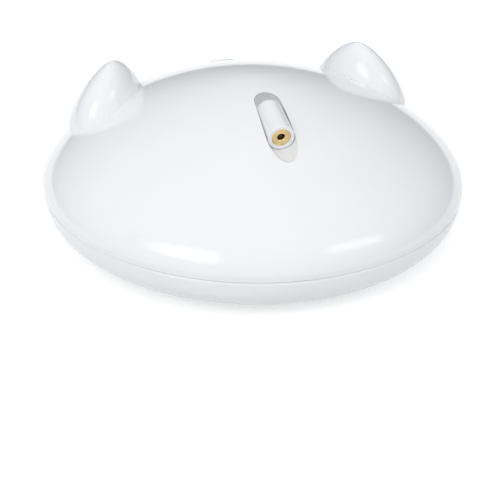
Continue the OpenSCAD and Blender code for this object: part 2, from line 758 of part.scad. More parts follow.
lens_back = face_set + face_t + lens_t;
diode_front = lens_back + lens_spring_len;
diode_flange = 0.8;

module brass_housing() color("goldenrod") on_beam() difference() {
    translate([0, 0, -brass_len - face_set]) cylinder(d = brass_d, h = brass_len);
    translate([0, 0, -brass_len - face_set - 1]) cylinder(d = optic_d, h = brass_len + 1 - face_t);
    cylinder(d = aperture_d, h = 4, center = true);
}

module collimating_lens() color("lightblue") on_beam() translate([0, 0, -lens_back]) {
    cylinder(d = optic_d - 0.1, h = lens_t);
}

module lens_spring() color("silver") on_beam() translate([0, 0, -diode_front])
    coil(optic_d / 2 - 0.4, optic_d / 2 - 0.4, lens_spring_len, 4, 0.4);

module laser_diode() color("gold") on_beam() translate([0, 0, -diode_front - diode_flange]) {
    cylinder(d = optic_d - 0.1, h = diode_flange);
    translate([0, 0, diode_flange - eps]) cylinder(d = diode_d - 0.9, h = 1.2);
    translate([0, 0, -diode_len]) cylinder(d = 1.4, h = diode_len);
}

module diode_board() color("darkgreen") on_beam()
    translate([0, 0, -diode_front - diode_flange - diode_len - board_t])
        cylinder(d = optic_d - 0.1, h = board_t);

// ---- Power button and its switch ----
button_flange_t = 1;
plunger_r = 1.6;
plunger_len = 1.5;
plunger_top = -guide_len - 0.1 - button_flange_t - 1.6;

module power_button() color("white") on_button() rotate_extrude()
    let (r = button_d / 2, top = -guide_len - 0.1)
    polygon([[0, plunger_top], [1.4, plunger_top], [1.4, top - button_flange_t],
             [r + 1.3, top - button_flange_t], [r + 1.3, top], [r, top],
             [r, button_proud - 0.5], [r - 0.15, button_proud - 0.15], [r - 0.5, button_proud],
             [r - 1.6, button_proud], [r - 2.6, button_proud - 0.25], [0, button_proud - 0.5]]);

module switch_plunger() color("black") on_button() translate([0, 0, plunger_top - plunger_len])
    cylinder(r = plunger_r, h = plunger_len);

module tact_switch() color("dimgray") on_button() difference() {
    translate([-switch_w / 2, -switch_w / 2, switch_board_top]) cube([switch_w, switch_w, switch_h]);
    translate([0, 0, plunger_top - plunger_len - button_travel - 0.2])
        cylinder(r = plunger_r + 0.1, h = 10);
}

module switch_board() color("seagreen") on_button() difference() {
    translate([-switch_post_x - 3, -5.5, switch_board_top - board_t])
        cube([2 * switch_post_x + 6, 11, board_t]);
    for (s = [-1, 1]) translate([s * switch_post_x, 0, switch_board_top - board_t - 1])
        cylinder(r = screw_free_r, h = board_t + 2);
}

module switch_screws() color("silver") on_button() for (s = [-1, 1])
    translate([s * switch_post_x, 0, switch_board_top - board_t]) screw(board_t + 4.5);

// ---- Main circuit board ----
board_top = board_z + board_t;

// A block on the main board, placed from its left rear corner.
module on_board(x, y, size) translate([board_x + x, board_y - y - size[1], board_top]) cube(size);

module main_board() color("seagreen") difference() {
    translate([board_x, board_y - board_l, board_z]) cube([board_w, board_l, board_t]);
    at_board_posts(board_z - 1) cylinder(r = screw_free_r, h = board_t + 2);
}

module board_screws() color("silver") at_board_posts(board_top) rotate([180, 0, 0]) screw(board_t + 3);

module control_chip() color("black") on_board(10, 10, [9.9, 3.9, 1.5]);
module power_transistor() color("black") on_board(22, 16, [2.9, 1.6, 1.1]);
module capacitor() color("navy") translate([board_x + 8, board_y - 19.5, board_top])
    cylinder(d = 5, h = 7);

// A white two-pin socket with an open slot in its top for a plug.
module socket(x, y, w, l) difference() {
    on_board(x, y, [w, l, 5.6]);
    translate([board_x + x + 0.8, board_y - y - l + 0.8, board_top + 1]) cube([w - 1.6, l - 1.6, 6]);
}
module battery_socket() color("white") socket(7, 1, 6.6, 4.4);
module motor_socket() color("white") socket(0.6, 10, 4.4, 6.6);
module laser_socket() color("white") socket(16, 1, 6.6, 4.4);

upper_shell();
lower_shell();
rubber_feet();
case_screws();
battery_door();
door_screws();
cell_1();
cell_2();
cell_3();
contact_springs();
contact_plates();
gearbox_frame();
gearbox_cover();
gearbox_screws();
gearbox_foot_screws();
tilt_axle();
second_axle();
first_axle();
second_gear();
first_gear();
motor_can();
motor_end_cap();
motor_armature();
motor_shaft();
motor_pinion();
laser_cradle();
laser_barrel();
brass_housing();
collimating_lens();
lens_spring();
laser_diode();
diode_board();
power_button();
switch_plunger();
tact_switch();
switch_board();
switch_screws();
main_board();
board_screws();
control_chip();
power_transistor();
capacitor();
battery_socket();
motor_socket();
laser_socket();
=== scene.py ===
"""Automatic laser toy for cats: a glossy white dome with two ears and a nodding laser barrel."""
import math

import bpy
import numpy as np
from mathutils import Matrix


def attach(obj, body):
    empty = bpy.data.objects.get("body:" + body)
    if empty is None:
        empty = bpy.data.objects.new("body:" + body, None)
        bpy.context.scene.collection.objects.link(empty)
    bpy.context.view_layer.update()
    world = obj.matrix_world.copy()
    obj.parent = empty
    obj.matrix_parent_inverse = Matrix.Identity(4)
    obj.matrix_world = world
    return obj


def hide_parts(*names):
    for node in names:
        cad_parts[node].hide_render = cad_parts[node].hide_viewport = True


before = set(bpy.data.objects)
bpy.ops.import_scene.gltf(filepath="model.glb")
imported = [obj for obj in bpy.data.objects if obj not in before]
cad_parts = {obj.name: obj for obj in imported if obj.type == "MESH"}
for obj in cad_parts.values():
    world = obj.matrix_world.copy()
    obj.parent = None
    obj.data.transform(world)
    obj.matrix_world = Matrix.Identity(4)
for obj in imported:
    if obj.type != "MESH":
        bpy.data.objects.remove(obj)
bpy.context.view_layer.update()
MM = 0.001

# ---- Camera ----
# A long lens looks down on the toy from in front and a little to its right.
# The picture is cut off-centre, so the lens axis meets it above the middle.
picture_size = 500
lens_axis_px = (253.1, 169.3)
focal_px = 1107.6
sensor_mm = 36
view_yaw = math.radians(-14.61)
view_height = math.radians(26.63)
view_roll = math.radians(0.856)
view_distance = 401.7 * MM
view_target = np.array([0, 0, 17.5]) * MM

back = np.array([math.sin(view_yaw) * math.cos(view_height),
                 -math.cos(view_yaw) * math.cos(view_height), math.sin(view_height)])
level = np.cross(-back, [0, 0, 1])
level /= np.linalg.norm(level)
upright = np.cross(level, -back)
camera_x = level * math.cos(view_roll) + upright * math.sin(view_roll)
camera_y = upright * math.cos(view_roll) - level * math.sin(view_roll)
camera_at = view_target + back * view_distance
camera_data = bpy.data.cameras.new("camera")
camera_data.sensor_width = sensor_mm
camera_data.lens = focal_px / picture_size * sensor_mm
camera_data.shift_x = (picture_size / 2 - lens_axis_px[0]) / picture_size
camera_data.shift_y = (lens_axis_px[1] - picture_size / 2) / picture_size
camera_data.clip_start = 0.01
camera = bpy.data.objects.new("camera", camera_data)
camera.matrix_world = np.block([[np.column_stack([camera_x, camera_y, back, camera_at])],
                                [np.array([[0, 0, 0, 1]])]]).T.tolist()
bpy.context.scene.collection.objects.link(camera)
bpy.context.scene.camera = camera
bpy.context.scene.view_settings.view_transform = "Standard"


# ---- Floor, sky and softboxes ----
# A white studio floor, a pale room that is darker behind the toy, and a softbox on each side of
# the camera, whose reflections are the two bright strips on the front of the dome.
def linear(code):
    """An sRGB hex colour such as #f0f0f0 as linear red, green, blue and alpha."""
    srgb = np.array([int(code[i:i + 2], 16) for i in (1, 3, 5)]) / 255
    value = np.where(srgb <= 0.04045, srgb / 12.92, ((srgb + 0.055) / 1.055) ** 2.4)
    return (*value.tolist(), 1.0)


def add(tree, kind, inputs=None, **settings):
    """Adds a node. inputs maps a socket to a value, or to a (node, output) pair to link."""
    made = tree.nodes.new("ShaderNode" + kind)
    for key, value in settings.items():
        setattr(made, key, value)
    for key, value in (inputs or {}).items():
        if isinstance(value, tuple) and isinstance(value[0], bpy.types.Node):
            tree.links.new(value[0].outputs[value[1]], made.inputs[key])
        else:
            made.inputs[key].default_value = value
    return made


def new_material(name):
    """An empty node material, and its node tree."""
    made = bpy.data.materials.new(name)
    made.use_nodes = True
    made.node_tree.nodes.clear()
    return made, made.node_tree


# White seamless paper. Where the camera, gloss or glass sees it, it also glows up to white, which
# puts no more light on the toy, and the toy's shadow stays on it.
floor_size = 3.0
floor_white = "#d8d8d8"
floor_glow = 0.56
floor_mat, tree = new_material("studio_floor")
path = add(tree, "LightPath")
seen = add(tree, "Math", {0: (path, "Is Camera Ray"), 1: (path, "Is Transmission Ray")},
           operation="MAXIMUM")
seen = add(tree, "Math", {0: (seen, 0), 1: (path, "Is Glossy Ray")}, operation="MAXIMUM")
glow = add(tree, "Math", {0: (seen, 0), 1: floor_glow}, operation="MULTIPLY")
paper = add(tree, "BsdfDiffuse", {"Color": linear(floor_white)})
light = add(tree, "Emission", {"Color": (1, 1, 1, 1), "Strength": (glow, 0)})
both = add(tree, "AddShader", {0: (paper, 0), 1: (light, 0)})
add(tree, "OutputMaterial", {"Surface": (both, 0)})
half = floor_size / 2
floor_mesh = bpy.data.meshes.new("floor")
floor_mesh.from_pydata([(-half, -half, 0), (half, -half, 0), (half, half, 0), (-half, half, 0)],
                       [], [(0, 1, 2, 3)])
floor_mesh.materials.append(floor_mat)
floor = bpy.data.objects.new("floor", floor_mesh)
bpy.context.scene.collection.objects.link(floor)

# The room is brightest high up, in front and to the left, and darkest low down behind.
room_low = "#626368"
room_high = "#eff0f2"
room_light = 1.17
room_lit_side = (-0.28, -0.47, 0.83)
room_fade = (-0.25, 0.7)
world = bpy.data.worlds.new("room")
world.use_nodes = True
tree = world.node_tree
tree.nodes.clear()
where = add(tree, "TexCoord")
facing = add(tree, "VectorMath", {0: (where, "Generated"), 1: room_lit_side},
             operation="DOT_PRODUCT")
climb = add(tree, "MapRange", {"Value": (facing, "Value"), "From Min": room_fade[0],
                               "From Max": room_fade[1]})
room = add(tree, "Mix", {0: (climb, 0), 6: linear(room_low), 7: linear(room_high)},
           data_type="RGBA")
sky = add(tree, "Background", {"Color": (room, 2), "Strength": room_light})
add(tree, "OutputWorld", {"Surface": (sky, 0)})
bpy.context.scene.world = world


softbox_distance = 1.0
softbox_rows = 24


def softbox(name, corners, strength, fade):
    """A lit panel that faces the toy, by the directions (azimuth, height) of its low left, low
    right, high right and high left corners. Azimuth is 0 in front and 90 at the toy's right (+X).
    The light is s(u / left) s((1-u) / right) s(v / low) s((1-v) / high) with s(t) = t^2 (3 - 2t)
    for t up to 1: it fades out over those shares of the panel's width and height."""
    turn, rise = np.radians(np.array(corners, float)).T
    far = np.column_stack([np.sin(turn) * np.cos(rise), -np.cos(turn) * np.cos(rise), np.sin(rise)])
    low_left, low_right, high_right, high_left = view_target + far * softbox_distance
    u, v = (g.ravel() for g in np.meshgrid(*[np.linspace(0, 1, softbox_rows)] * 2))
    points = (low_left * ((1 - u) * (1 - v))[:, None] + low_right * (u * (1 - v))[:, None]
              + high_right * (u * v)[:, None] + high_left * ((1 - u) * v)[:, None])
    t = np.clip(np.stack([u / fade[0], (1 - u) / fade[1], v / fade[2], (1 - v) / fade[3]]), 0, 1)
    here = np.arange(softbox_rows ** 2).reshape(softbox_rows, softbox_rows)
    quads = np.stack([here[:-1, :-1], here[:-1, 1:], here[1:, 1:], here[1:, :-1]], axis=-1)
    panel = bpy.data.meshes.new(name)
    panel.from_pydata(points.tolist(), [], quads.reshape(-1, 4).tolist())
    panel.attributes.new("light", "FLOAT", "POINT").data.foreach_set(
        "value", (t * t * (3 - 2 * t)).prod(axis=0))
    panel_mat, tree = new_material(name)
    spread = add(tree, "Attribute", attribute_name="light")
    strong = add(tree, "Math", {0: (spread, "Fac"), 1: strength}, operation="MULTIPLY")
    lit = add(tree, "Emission", {"Color": (1, 1, 1, 1), "Strength": (strong, 0)})
    add(tree, "OutputMaterial", {"Surface": (lit, 0)})
    panel.materials.append(panel_mat)
    made = bpy.data.objects.new(name, panel)
    bpy.context.scene.collection.objects.link(made)


softbox("softbox_left", [(-80.8, 22.6), (-29.6, 22.8), (-27.8, 51.4), (-86.9, 34.0)], 3.6,
        [0.5, 0.12, 0.2, 0.35])
softbox("softbox_right", [(21.6, 34.5), (60.0, 24.6), (64.3, 35.1), (30.7, 47.1)], 3.2,
        [0.15, 0.15, 0.2, 0.25])

# ---- Lower shell ----
# A shallow pan moulded in glossy white ABS, from the flat underside up to the parting line.
# The battery bay, the wells of the case screws and the pockets of the feet are moulded in.
body_r = 75.0
foot_proud = 1.2
wide_z = foot_proud + 17.1
dome_h = 35.8
dome_power = 1.534
dome_crown = 0.06
side_power = 2.77
flat_r = 49.5
seam_z = foot_proud + 15.0
wall = 2.2
edge_r = 0.35
around = 400


def ring_solid(name, rings, first, last):
    """Closed skin through rings of points (n, m, 3), drawn together to a point at both ends."""
    n, m, _ = rings.shape
    points = np.vstack([rings.reshape(-1, 3), [first], [last]])
    here = np.arange(n * m).reshape(n, m)
    beside = np.roll(here, -1, axis=1)
    quads = np.stack([here[:-1], beside[:-1], beside[1:], here[1:]], axis=-1).reshape(-1, 4)
    low_fan = np.stack([beside[0], here[0], np.full(m, n * m)], axis=-1)
    high_fan = np.stack([here[-1], beside[-1], np.full(m, n * m + 1)], axis=-1)
    thirds = np.vstack([quads[:, :3], quads[:, [0, 2, 3]], low_fan, high_fan])
    a, b, c = (points[thirds[:, i]] for i in range(3))
    if np.einsum("ij,ij->i", a, np.cross(b, c)).sum() < 0:
        quads, low_fan, high_fan = quads[:, ::-1], low_fan[:, ::-1], high_fan[:, ::-1]
    mesh = bpy.data.meshes.new(name)
    mesh.from_pydata((points * MM).tolist(), [],
                     quads.tolist() + low_fan.tolist() + high_fan.tolist())
    return mesh


def turned(name, profile, steps=96, place=None):
    """Turns a profile of (radius, height) rows, from axis to axis, about its own Z axis.
    place maps points (n, 3) from the piece's own axes to the toy's."""
    profile = np.asarray(profile, float)
    angle = np.arange(steps) / steps * 2 * np.pi
    inner = profile[1:-1]
    rings = np.stack([inner[:, :1] * np.cos(angle), inner[:, :1] * np.sin(angle),
                      np.repeat(inner[:, 1:], steps, axis=1)], axis=-1)
    ends = np.array([[0, 0, profile[0, 1]], [0, 0, profile[-1, 1]]])
    if place is not None:
        rings = place(rings.reshape(-1, 3)).reshape(rings.shape)
        ends = place(ends)
    return ring_solid(name, rings, ends[0], ends[1])


def rounded(corners, radii, steps=6, guard=0.04):
    """Rounds the corners of an open profile: corner i gets an arc that starts and ends about
    radii[i] from it, with a guard point just outside each end that keeps the flats flat."""
    corners = np.asarray(corners, float)
    out = [corners[0]]
    for before, at, after, r in zip(corners[:-2], corners[1:-1], corners[2:], radii):
        if r == 0:
            out.append(at)
            continue
        u = (before - at) / np.linalg.norm(before - at)
        v = (after - at) / np.linalg.norm(after - at)
        t = np.linspace(0, 1, steps + 1)[:, None]
        bend = at + u * r * (1 - t) ** 2 + v * r * t ** 2
        out += [at + u * (r + guard), *bend, at + v * (r + guard)]
    out.append(corners[-1])
    return np.array(out)


def side_curve(inset, start, stop, steps):
    """Rows (radius, height) of the side below the widest line: a quarter superellipse from
    angle 0 at the widest line to 90 degrees at the flat."""
    t = np.linspace(start, stop, steps)
    flat = flat_r - inset
    return np.column_stack([flat + (body_r - inset - flat) * np.cos(t) ** (2 / side_power),
                            wide_z - (wide_z - foot_proud - inset) * np.sin(t) ** (2 / side_power)])


def side_angle(inset, z):
    """The angle at which the side's curve passes the height z."""
    return math.asin(((wide_z - z) / (wide_z - foot_proud - inset)) ** (side_power / 2))


def smooth_by_angle(mesh, degrees=32):
    """Smooth shading with hard edges where faces meet at more than that angle."""
    mesh.shade_smooth()
    mesh.set_sharp_from_angle(angle=math.radians(degrees))


def carve(mesh, cutter, operation="DIFFERENCE"):
    """Joins a solid to another, or takes it away, and returns the new mesh."""
    objects = [bpy.data.objects.new("carve", m) for m in (mesh, cutter)]
    for o in objects:
        bpy.context.scene.collection.objects.link(o)
    step = objects[0].modifiers.new("carve", "BOOLEAN")
    step.operation = operation
    step.solver = "MANIFOLD"
    step.object = objects[1]
    depsgraph = bpy.context.evaluated_depsgraph_get()
    result = bpy.data.meshes.new_from_object(objects[0].evaluated_get(depsgraph))
    result.name = mesh.name
    for o in objects:
        bpy.data.objects.remove(o)
    return result


def true_normals(mesh, forms, reach=0.06):
    """Gives the corners of faces that lie on one of the forms that form's exact normals.
    A form is a function of points in mm that is 0 on its surface and rises outwards."""
    def slope(form, at):
        """The form's rise at each point, by small steps along each axis."""
        step = np.eye(3) * 1e-3
        return np.stack([form(at + s) - form(at - s) for s in step], axis=-1) / 2e-3

    count = len(mesh.loops)
    normals = np.empty(count * 3)
    mesh.corner_normals.foreach_get("vector", normals)
    normals = normals.reshape(-1, 3)
    at = np.empty(len(mesh.vertices) * 3)
    mesh.vertices.foreach_get("co", at)
    at = at.reshape(-1, 3) / MM
    corner = np.empty(count, dtype=np.int64)
    mesh.loops.foreach_get("vertex_index", corner)
    sizes = np.empty(len(mesh.polygons), dtype=np.int64)
    mesh.polygons.foreach_get("loop_total", sizes)
    facing = np.empty(len(mesh.polygons) * 3)
    mesh.polygons.foreach_get("normal", facing)
    facing = facing.reshape(-1, 3)
    face = np.repeat(np.arange(len(sizes)), sizes)
    for form in forms:
        rise = slope(form, at)
        steep = np.linalg.norm(rise, axis=1)
        off = np.abs(form(at)) / np.maximum(steep, 1e-9)
        exact = rise / np.maximum(steep, 1e-9)[:, None]
        lies = (off[corner] < reach) & (np.einsum("ij,ij->i", exact[corner], facing[face]) > 0.8)
        whole = np.bincount(face, weights=lies, minlength=len(sizes)) == sizes
        use = whole[face]
        normals[use] = exact[corner[use]]
    mesh.normals_split_custom_set(normals.tolist())


def piece(name, mesh, material, body, slot, *nodes):
    """Puts a finished mesh into the scene: it rides on a body and stands for CAD nodes."""
    mesh.materials.clear()
    mesh.materials.append(material)
    made = bpy.data.objects.new(name, mesh)
    bpy.context.scene.collection.objects.link(made)
    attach(made, body)
    if nodes:
        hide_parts(*nodes)
    return made


def box(low, high):
    """A plain block between two corners, used only to carve with."""
    (x0, y0, z0), (x1, y1, z1) = low, high
    ring = np.array([[x0, y0], [x1, y0], [x1, y1], [x0, y1]])
    rings = np.array([np.column_stack([ring, np.full(4, z)]) for z in (z0, z1)])
    middle = [(x0 + x1) / 2, (y0 + y1) / 2]
    return ring_solid("block", rings, [*middle, z0], [*middle, z1])


# Gloss white ABS, moulded in a polished tool: an even, slightly cool white with a hard, clear
# gloss, broken only by a faint ripple of 1.4 mm and by handling marks of 22 mm that dull it.
abs_light = "#f4f5f6"
abs_shade = "#eff1f3"
abs_marks = 22.2
abs_ripple = 1.43
abs_ripple_deep = 0.02
abs_mat, tree = new_material("gloss_white_abs")
where = add(tree, "TexCoord")
cloud = add(tree, "TexNoise", {"Vector": (where, "Object"), "Scale": 1 / (abs_marks * MM),
                               "Detail": 2.0})
tint = add(tree, "Mix", {0: (cloud, 0), 6: linear(abs_light), 7: linear(abs_shade)},
           data_type="RGBA")
dull = add(tree, "MapRange", {"Value": (cloud, 0), "To Min": 0.09, "To Max": 0.15})
ripple = add(tree, "TexNoise", {"Vector": (where, "Object"), "Scale": 1 / (abs_ripple * MM),
                                "Detail": 1.0})
bump = add(tree, "Bump", {"Height": (ripple, 0), "Strength": 0.03,
                          "Distance": abs_ripple_deep * MM})
skin = add(tree, "BsdfPrincipled", {"Base Color": (tint, 2), "Roughness": (dull, 0), "IOR": 1.53,
                                    "Normal": (bump, 0)})
add(tree, "OutputMaterial", {"Surface": (skin, 0)})

door_w = 56.0
door_l = 46.3
door_t = 1.7
door_gap = 0.3
door_rim = 1.5
door_roof = 2.0
cell_d = 10.5
cell_room = 0.6
bay_y = 14.0
bay_w = 51.0
bay_l = 33.5
bay_wall = 1.6
bay_top = foot_proud + door_t + door_roof + cell_d + cell_room
well_r = 2.6
well_top = foot_proud + 9
post_r = 4.4
post_low = foot_proud + 1
post_high = foot_proud + 13
case_screw_r = 56.6
case_screw_dirs = (58, 122, 222, 318)
foot_r = 4.5
foot_sunk = 0.8
foot_circle_r = 44.0
foot_dirs = (40, 140, 220, 320)
floor_z = foot_proud + wall
lip_gap = 0.2
lip_t = 1.0
lip_high = 2.0
lip_low = 1.5
seam_open = 0.02
# An added solid reaches this far into what carries it, and a cutter this far past what it cuts.
rooted = 0.5
past = 1.0


def on_circle(radius, degrees):
    """Where a direction meets a circle about the toy's middle, as (x, y)."""
    a = math.radians(degrees)
    return radius * math.cos(a), radius * math.sin(a)


def plug(r, low, high):
    """The profile of a plain round plug."""
    return [(0, low), (r, low), (r, high), (0, high)]


def disc(x, y, r, low, high, steps=48):
    """An upright round plug, used to carve with."""
    return turned("plug", plug(r, low, high), steps, lambda p: p + [x, y, 0])


def bay_block(w, l, low, high):
    """A block centred on the battery bay, used to carve with."""
    return box((-w / 2, bay_y - l / 2, low), (w / 2, bay_y + l / 2, high))


to_seam = side_angle(0, seam_z)
outer = np.vstack([[[0, foot_proud]], side_curve(0, math.pi / 2, to_seam, 60)[:-1],
                   [[body_r - edge_r / 2, seam_z - edge_r]],
                   [[body_r - edge_r * 1.5, seam_z - seam_open]], [[0, seam_z]]])
inner = np.vstack([[[0, floor_z]], side_curve(wall, math.pi / 2, side_angle(wall, seam_z), 24),
                   [[body_r - wall, seam_z + past]], [[0, seam_z + past]]])
lip_out = body_r - wall - lip_gap
lip = turned("lip", plug(lip_out, seam_z - lip_low, seam_z + lip_high), 128)
lip_hole = plug(lip_out - lip_t, seam_z - lip_low - past, seam_z + lip_high + past)
bay_base = bay_block(door_w + 2 * door_rim, door_l + 2 * door_rim, floor_z - rooted,
                     foot_proud + door_t + door_roof)
pan = turned("lower_shell", outer, around)
pan = carve(pan, turned("inner", inner, 96))
pan = carve(pan, carve(lip, turned("lip_hole", lip_hole, 128)), "UNION")
pan = carve(pan, bay_block(bay_w + 2 * bay_wall, bay_l + 2 * bay_wall, floor_z - rooted, bay_top),
            "UNION")
pan = carve(pan, bay_base, "UNION")
for degrees in case_screw_dirs:
    x, y = on_circle(case_screw_r, degrees)
    pan = carve(pan, disc(x, y, post_r, post_low, post_high), "UNION")
    pan = carve(pan, disc(x, y, well_r, 0, well_top))
for degrees in foot_dirs:
    pan = carve(pan, disc(*on_circle(foot_circle_r, degrees), foot_r, 0, foot_proud + foot_sunk))
pan = carve(pan, bay_block(door_w + 2 * door_gap, door_l + 2 * door_gap, 0, foot_proud + door_t))
pan = carve(pan, bay_block(bay_w, bay_l, 0, bay_top + past))


def side_form(at):
    """0 on the side below the widest line: the same superellipse as side_curve."""
    r = np.hypot(at[:, 0], at[:, 1])
    across = np.maximum(r - flat_r, 0) / (body_r - flat_r)
    down = np.maximum(wide_z - at[:, 2], 0) / (wide_z - foot_proud)
    return (across ** side_power + down ** side_power - 1) * 20


smooth_by_angle(pan)
true_normals(pan, [side_form])
piece("lower_shell_moulding", pan, abs_mat, "housing", "white_abs", "lower_shell")

# ---- Upper shell ----
# The dome with both ears in one moulding of the same glossy white ABS. A trough near the top
# takes the laser barrel, with a slit in its floor for the blade that carries the barrel.
ear_at = np.array([48.3, 25.9])
ear_half = np.array([20.7, 13.0])
ear_turn = math.radians(120)
ear_lean = np.array([-2.0, -2.7])
ear_start_z = foot_proud + 31.8
ear_tip_z = foot_proud + 53.3
ear_rise = 1.45
ear_close = 1.5
ear_wall = 2.4
slot_gap = 0.4
slot_back = 5.4
slot_rise = 0.25
slot_rear_len = 6.2
slot_front_len = 12.4
slot_wall = 0.85
tube_r = 4.5
tube_len = 19.3
barrel_pitch = math.radians(9.6)
nose_at = np.array([0, -35.7, foot_proud + 45.1])
slot_r = tube_r + slot_gap
blade_t = 2.6
blade_front = 8.0
slit_side_gap = 0.5
slit_front_gap = 1.2
slit_rear_gap = 3.2
button_y = 52.0
button_r = 5.0
button_gap = 0.15
guide_wall = 2.4
guide_deep = 3.2
barrel_forward = np.array([0, -math.cos(barrel_pitch), -math.sin(barrel_pitch)])
barrel_up = np.array([0, -math.sin(barrel_pitch), math.cos(barrel_pitch)])


def crowned(u):
    """u to the dome's power, with the point that this would make at the middle rounded off."""
    e = dome_crown
    return (((u * u + e * e) ** (dome_power / 2) - e ** dome_power)
            / ((1 + e * e) ** (dome_power / 2) - e ** dome_power))


def dome_z(r, inset=0.0):
    """Height of the dome at the radius r: a superellipse from the widest line to the top."""
    share = np.maximum(1 - crowned(np.abs(r) / (body_r - inset)), 0)
    return wide_z + (dome_h - inset) * share ** (1 / dome_power)


def dome_profile(inset, steps):
    """Rows (radius, height) from the widest line to the top, close together near the edge."""
    t = np.linspace(0, 1, steps)
    r = (body_r - inset) * (1 - t ** 3)
    return np.column_stack([r, dome_z(r, inset)])


def dome_form(at):
    """0 on the dome: how far a point is above the dome's height, made even near its edge."""
    u = np.hypot(at[:, 0], at[:, 1]) / body_r
    up = np.maximum(at[:, 2] - wide_z, 0) / dome_h
    return (crowned(u) + up ** dome_power - 1) * 20


def ear_width(s):
    """An ear's width as a share of that at its foot: (1 - s^rise)^(1/close), 0 at the tip."""
    return (1 - s ** ear_rise) ** (1 / ear_close)


def ear_ring_points(s, z, inset, steps):
    """Rings of the right ear: turned ellipses whose middle leans over as s goes from 0 to 1."""
    t = np.arange(steps) / steps * 2 * np.pi
    k = ear_width(s)
    u = (ear_half[0] - inset) * k[:, None] * np.cos(t)
    v = (ear_half[1] - inset) * k[:, None] * np.sin(t)
    mid = ear_at + ear_lean * s[:, None]
    return np.stack([mid[:, :1] + u * math.cos(ear_turn) - v * math.sin(ear_turn),
                     mid[:, 1:] + u * math.sin(ear_turn) + v * math.cos(ear_turn),
                     np.repeat(z[:, None], steps, axis=1)], axis=-1)


def ear_solid(side, inset, steps, rows):
    """The right ear (side 1) or its mirror image (side -1), down into the dome."""
    s = np.sin(np.linspace(0, math.pi / 2, rows))[:-1]
    high = ear_tip_z - inset
    z = ear_start_z + (high - ear_start_z) * s
    low = wide_z + past
    rings = ear_ring_points(np.insert(s, 0, 0), np.insert(z, 0, low), inset, steps)
    foot = [side * ear_at[0], ear_at[1], low]
    tip = [side * (ear_at[0] + ear_lean[0]), ear_at[1] + ear_lean[1], high]
    return ring_solid("ear", rings * [side, 1, 1], foot, tip)


def ear_form(side):
    """A form that is 0 on one ear's skin."""
    def form(at):
        """How far a point is outside the ear's ellipse at its height."""
        s = np.clip((at[:, 2] - ear_start_z) / (ear_tip_z - ear_start_z), 0, 0.9999)
        x = at[:, 0] * side - ear_at[0] - ear_lean[0] * s
        y = at[:, 1] - ear_at[1] - ear_lean[1] * s
        u = x * math.cos(ear_turn) + y * math.sin(ear_turn)
        v = y * math.cos(ear_turn) - x * math.sin(ear_turn)
        return (np.hypot(u / ear_half[0], v / ear_half[1]) - ear_width(s)) * ear_half[1]
    return form


def on_barrel(p):
    """From the barrel's own axes to the toy's: z = 0 is the barrel's face, +Z leaves it."""
    return nose_at + p[:, :1] * [1, 0, 0] + p[:, 1:2] * barrel_up + p[:, 2:] * barrel_forward


slot_rear = -tube_len - slot_back + slot_rear_len


def trough(r, steps=96):
    """The trough's space: a round channel along the barrel, whose ends draw in as the quarter
    ellipses r(z) = r sqrt(1 - (z / length)^2)."""
    t = np.linspace(0, math.pi / 2, 25)
    grow = r - slot_r
    rear = np.column_stack([r * np.sin(t), slot_rear - (slot_rear_len + grow) * np.cos(t)])
    front = np.column_stack([r * np.cos(t), (slot_front_len + grow) * np.sin(t)])
    return turned("trough", np.vstack([rear, front]), steps,
                  lambda p: on_barrel(p + [0, slot_rise, 0]))


def trough_form(at):
    """0 on the trough's wall and rising towards its axis, because the wall faces inwards."""
    off = at - nose_at - barrel_up * slot_rise
    along = off @ barrel_forward
    beside = np.linalg.norm(off - along[:, None] * barrel_forward, axis=1)
    beyond = np.where(along > 0, along / slot_front_len,
                      np.minimum(along - slot_rear, 0) / slot_rear_len)
    return slot_r * (1 - np.hypot(beside / slot_r, beyond))


button_tilt = math.atan((dome_z(button_y - 0.1) - dome_z(button_y + 0.1)) / 0.2)
button_at = np.array([0, button_y, dome_z(button_y)])


def on_button(p):
    """From the button's own axes to the toy's: z = 0 is the dome, +Z stands square to it."""
    out = np.array([0, math.sin(button_tilt), math.cos(button_tilt)])
    up = np.array([0, math.cos(button_tilt), -math.sin(button_tilt)])
    return button_at + p[:, :1] * [1, 0, 0] + p[:, 1:2] * up + p[:, 2:] * out


upper_side = side_curve(0, to_seam, 0, 8)
outer = np.vstack([[[0, seam_z]], [[body_r - edge_r * 1.5, seam_z + seam_open]],
                   [[body_r - edge_r / 2, seam_z + edge_r]], upper_side[2:-1],
                   dome_profile(0, 150)])
inner = np.vstack([[[0, seam_z - past]], [[body_r - wall, seam_z - past]], dome_profile(wall, 60)])
shell = turned("upper_shell", outer, around)
hollow = turned("hollow", inner, 128)
for side in (1, -1):
    shell = carve(shell, ear_solid(side, 0, 160, 64), "UNION")
    hollow = carve(hollow, ear_solid(side, ear_wall, 48, 16), "UNION")
hollow = carve(hollow, trough(slot_r + slot_wall))
guide = plug(button_r + guide_wall, -guide_deep, 2 * past)
hollow = carve(hollow, turned("guide", guide, 96, on_button))
shell = carve(shell, hollow)
shell = carve(shell, trough(slot_r))
slit_half = blade_t / 2 + slit_side_gap
slit = box((-slit_half, -slot_r - slot_wall - 2 * past, -tube_len - slit_rear_gap),
           (slit_half, -slot_r + 2 * past, slit_front_gap - blade_front))
slit_points = np.array([v.co[:] for v in slit.vertices]) / MM
slit.vertices.foreach_set("co", (on_barrel(slit_points) * MM).ravel())
shell = carve(shell, slit)
bore = plug(button_r + button_gap, -guide_deep - 2 * past, 3 * past)
shell = carve(shell, turned("bore", bore, 96, on_button))
smooth_by_angle(shell)
true_normals(shell, [side_form, dome_form, ear_form(1), ear_form(-1), trough_form])
piece("upper_shell_moulding", shell, abs_mat, "housing", "white_abs", "upper_shell")

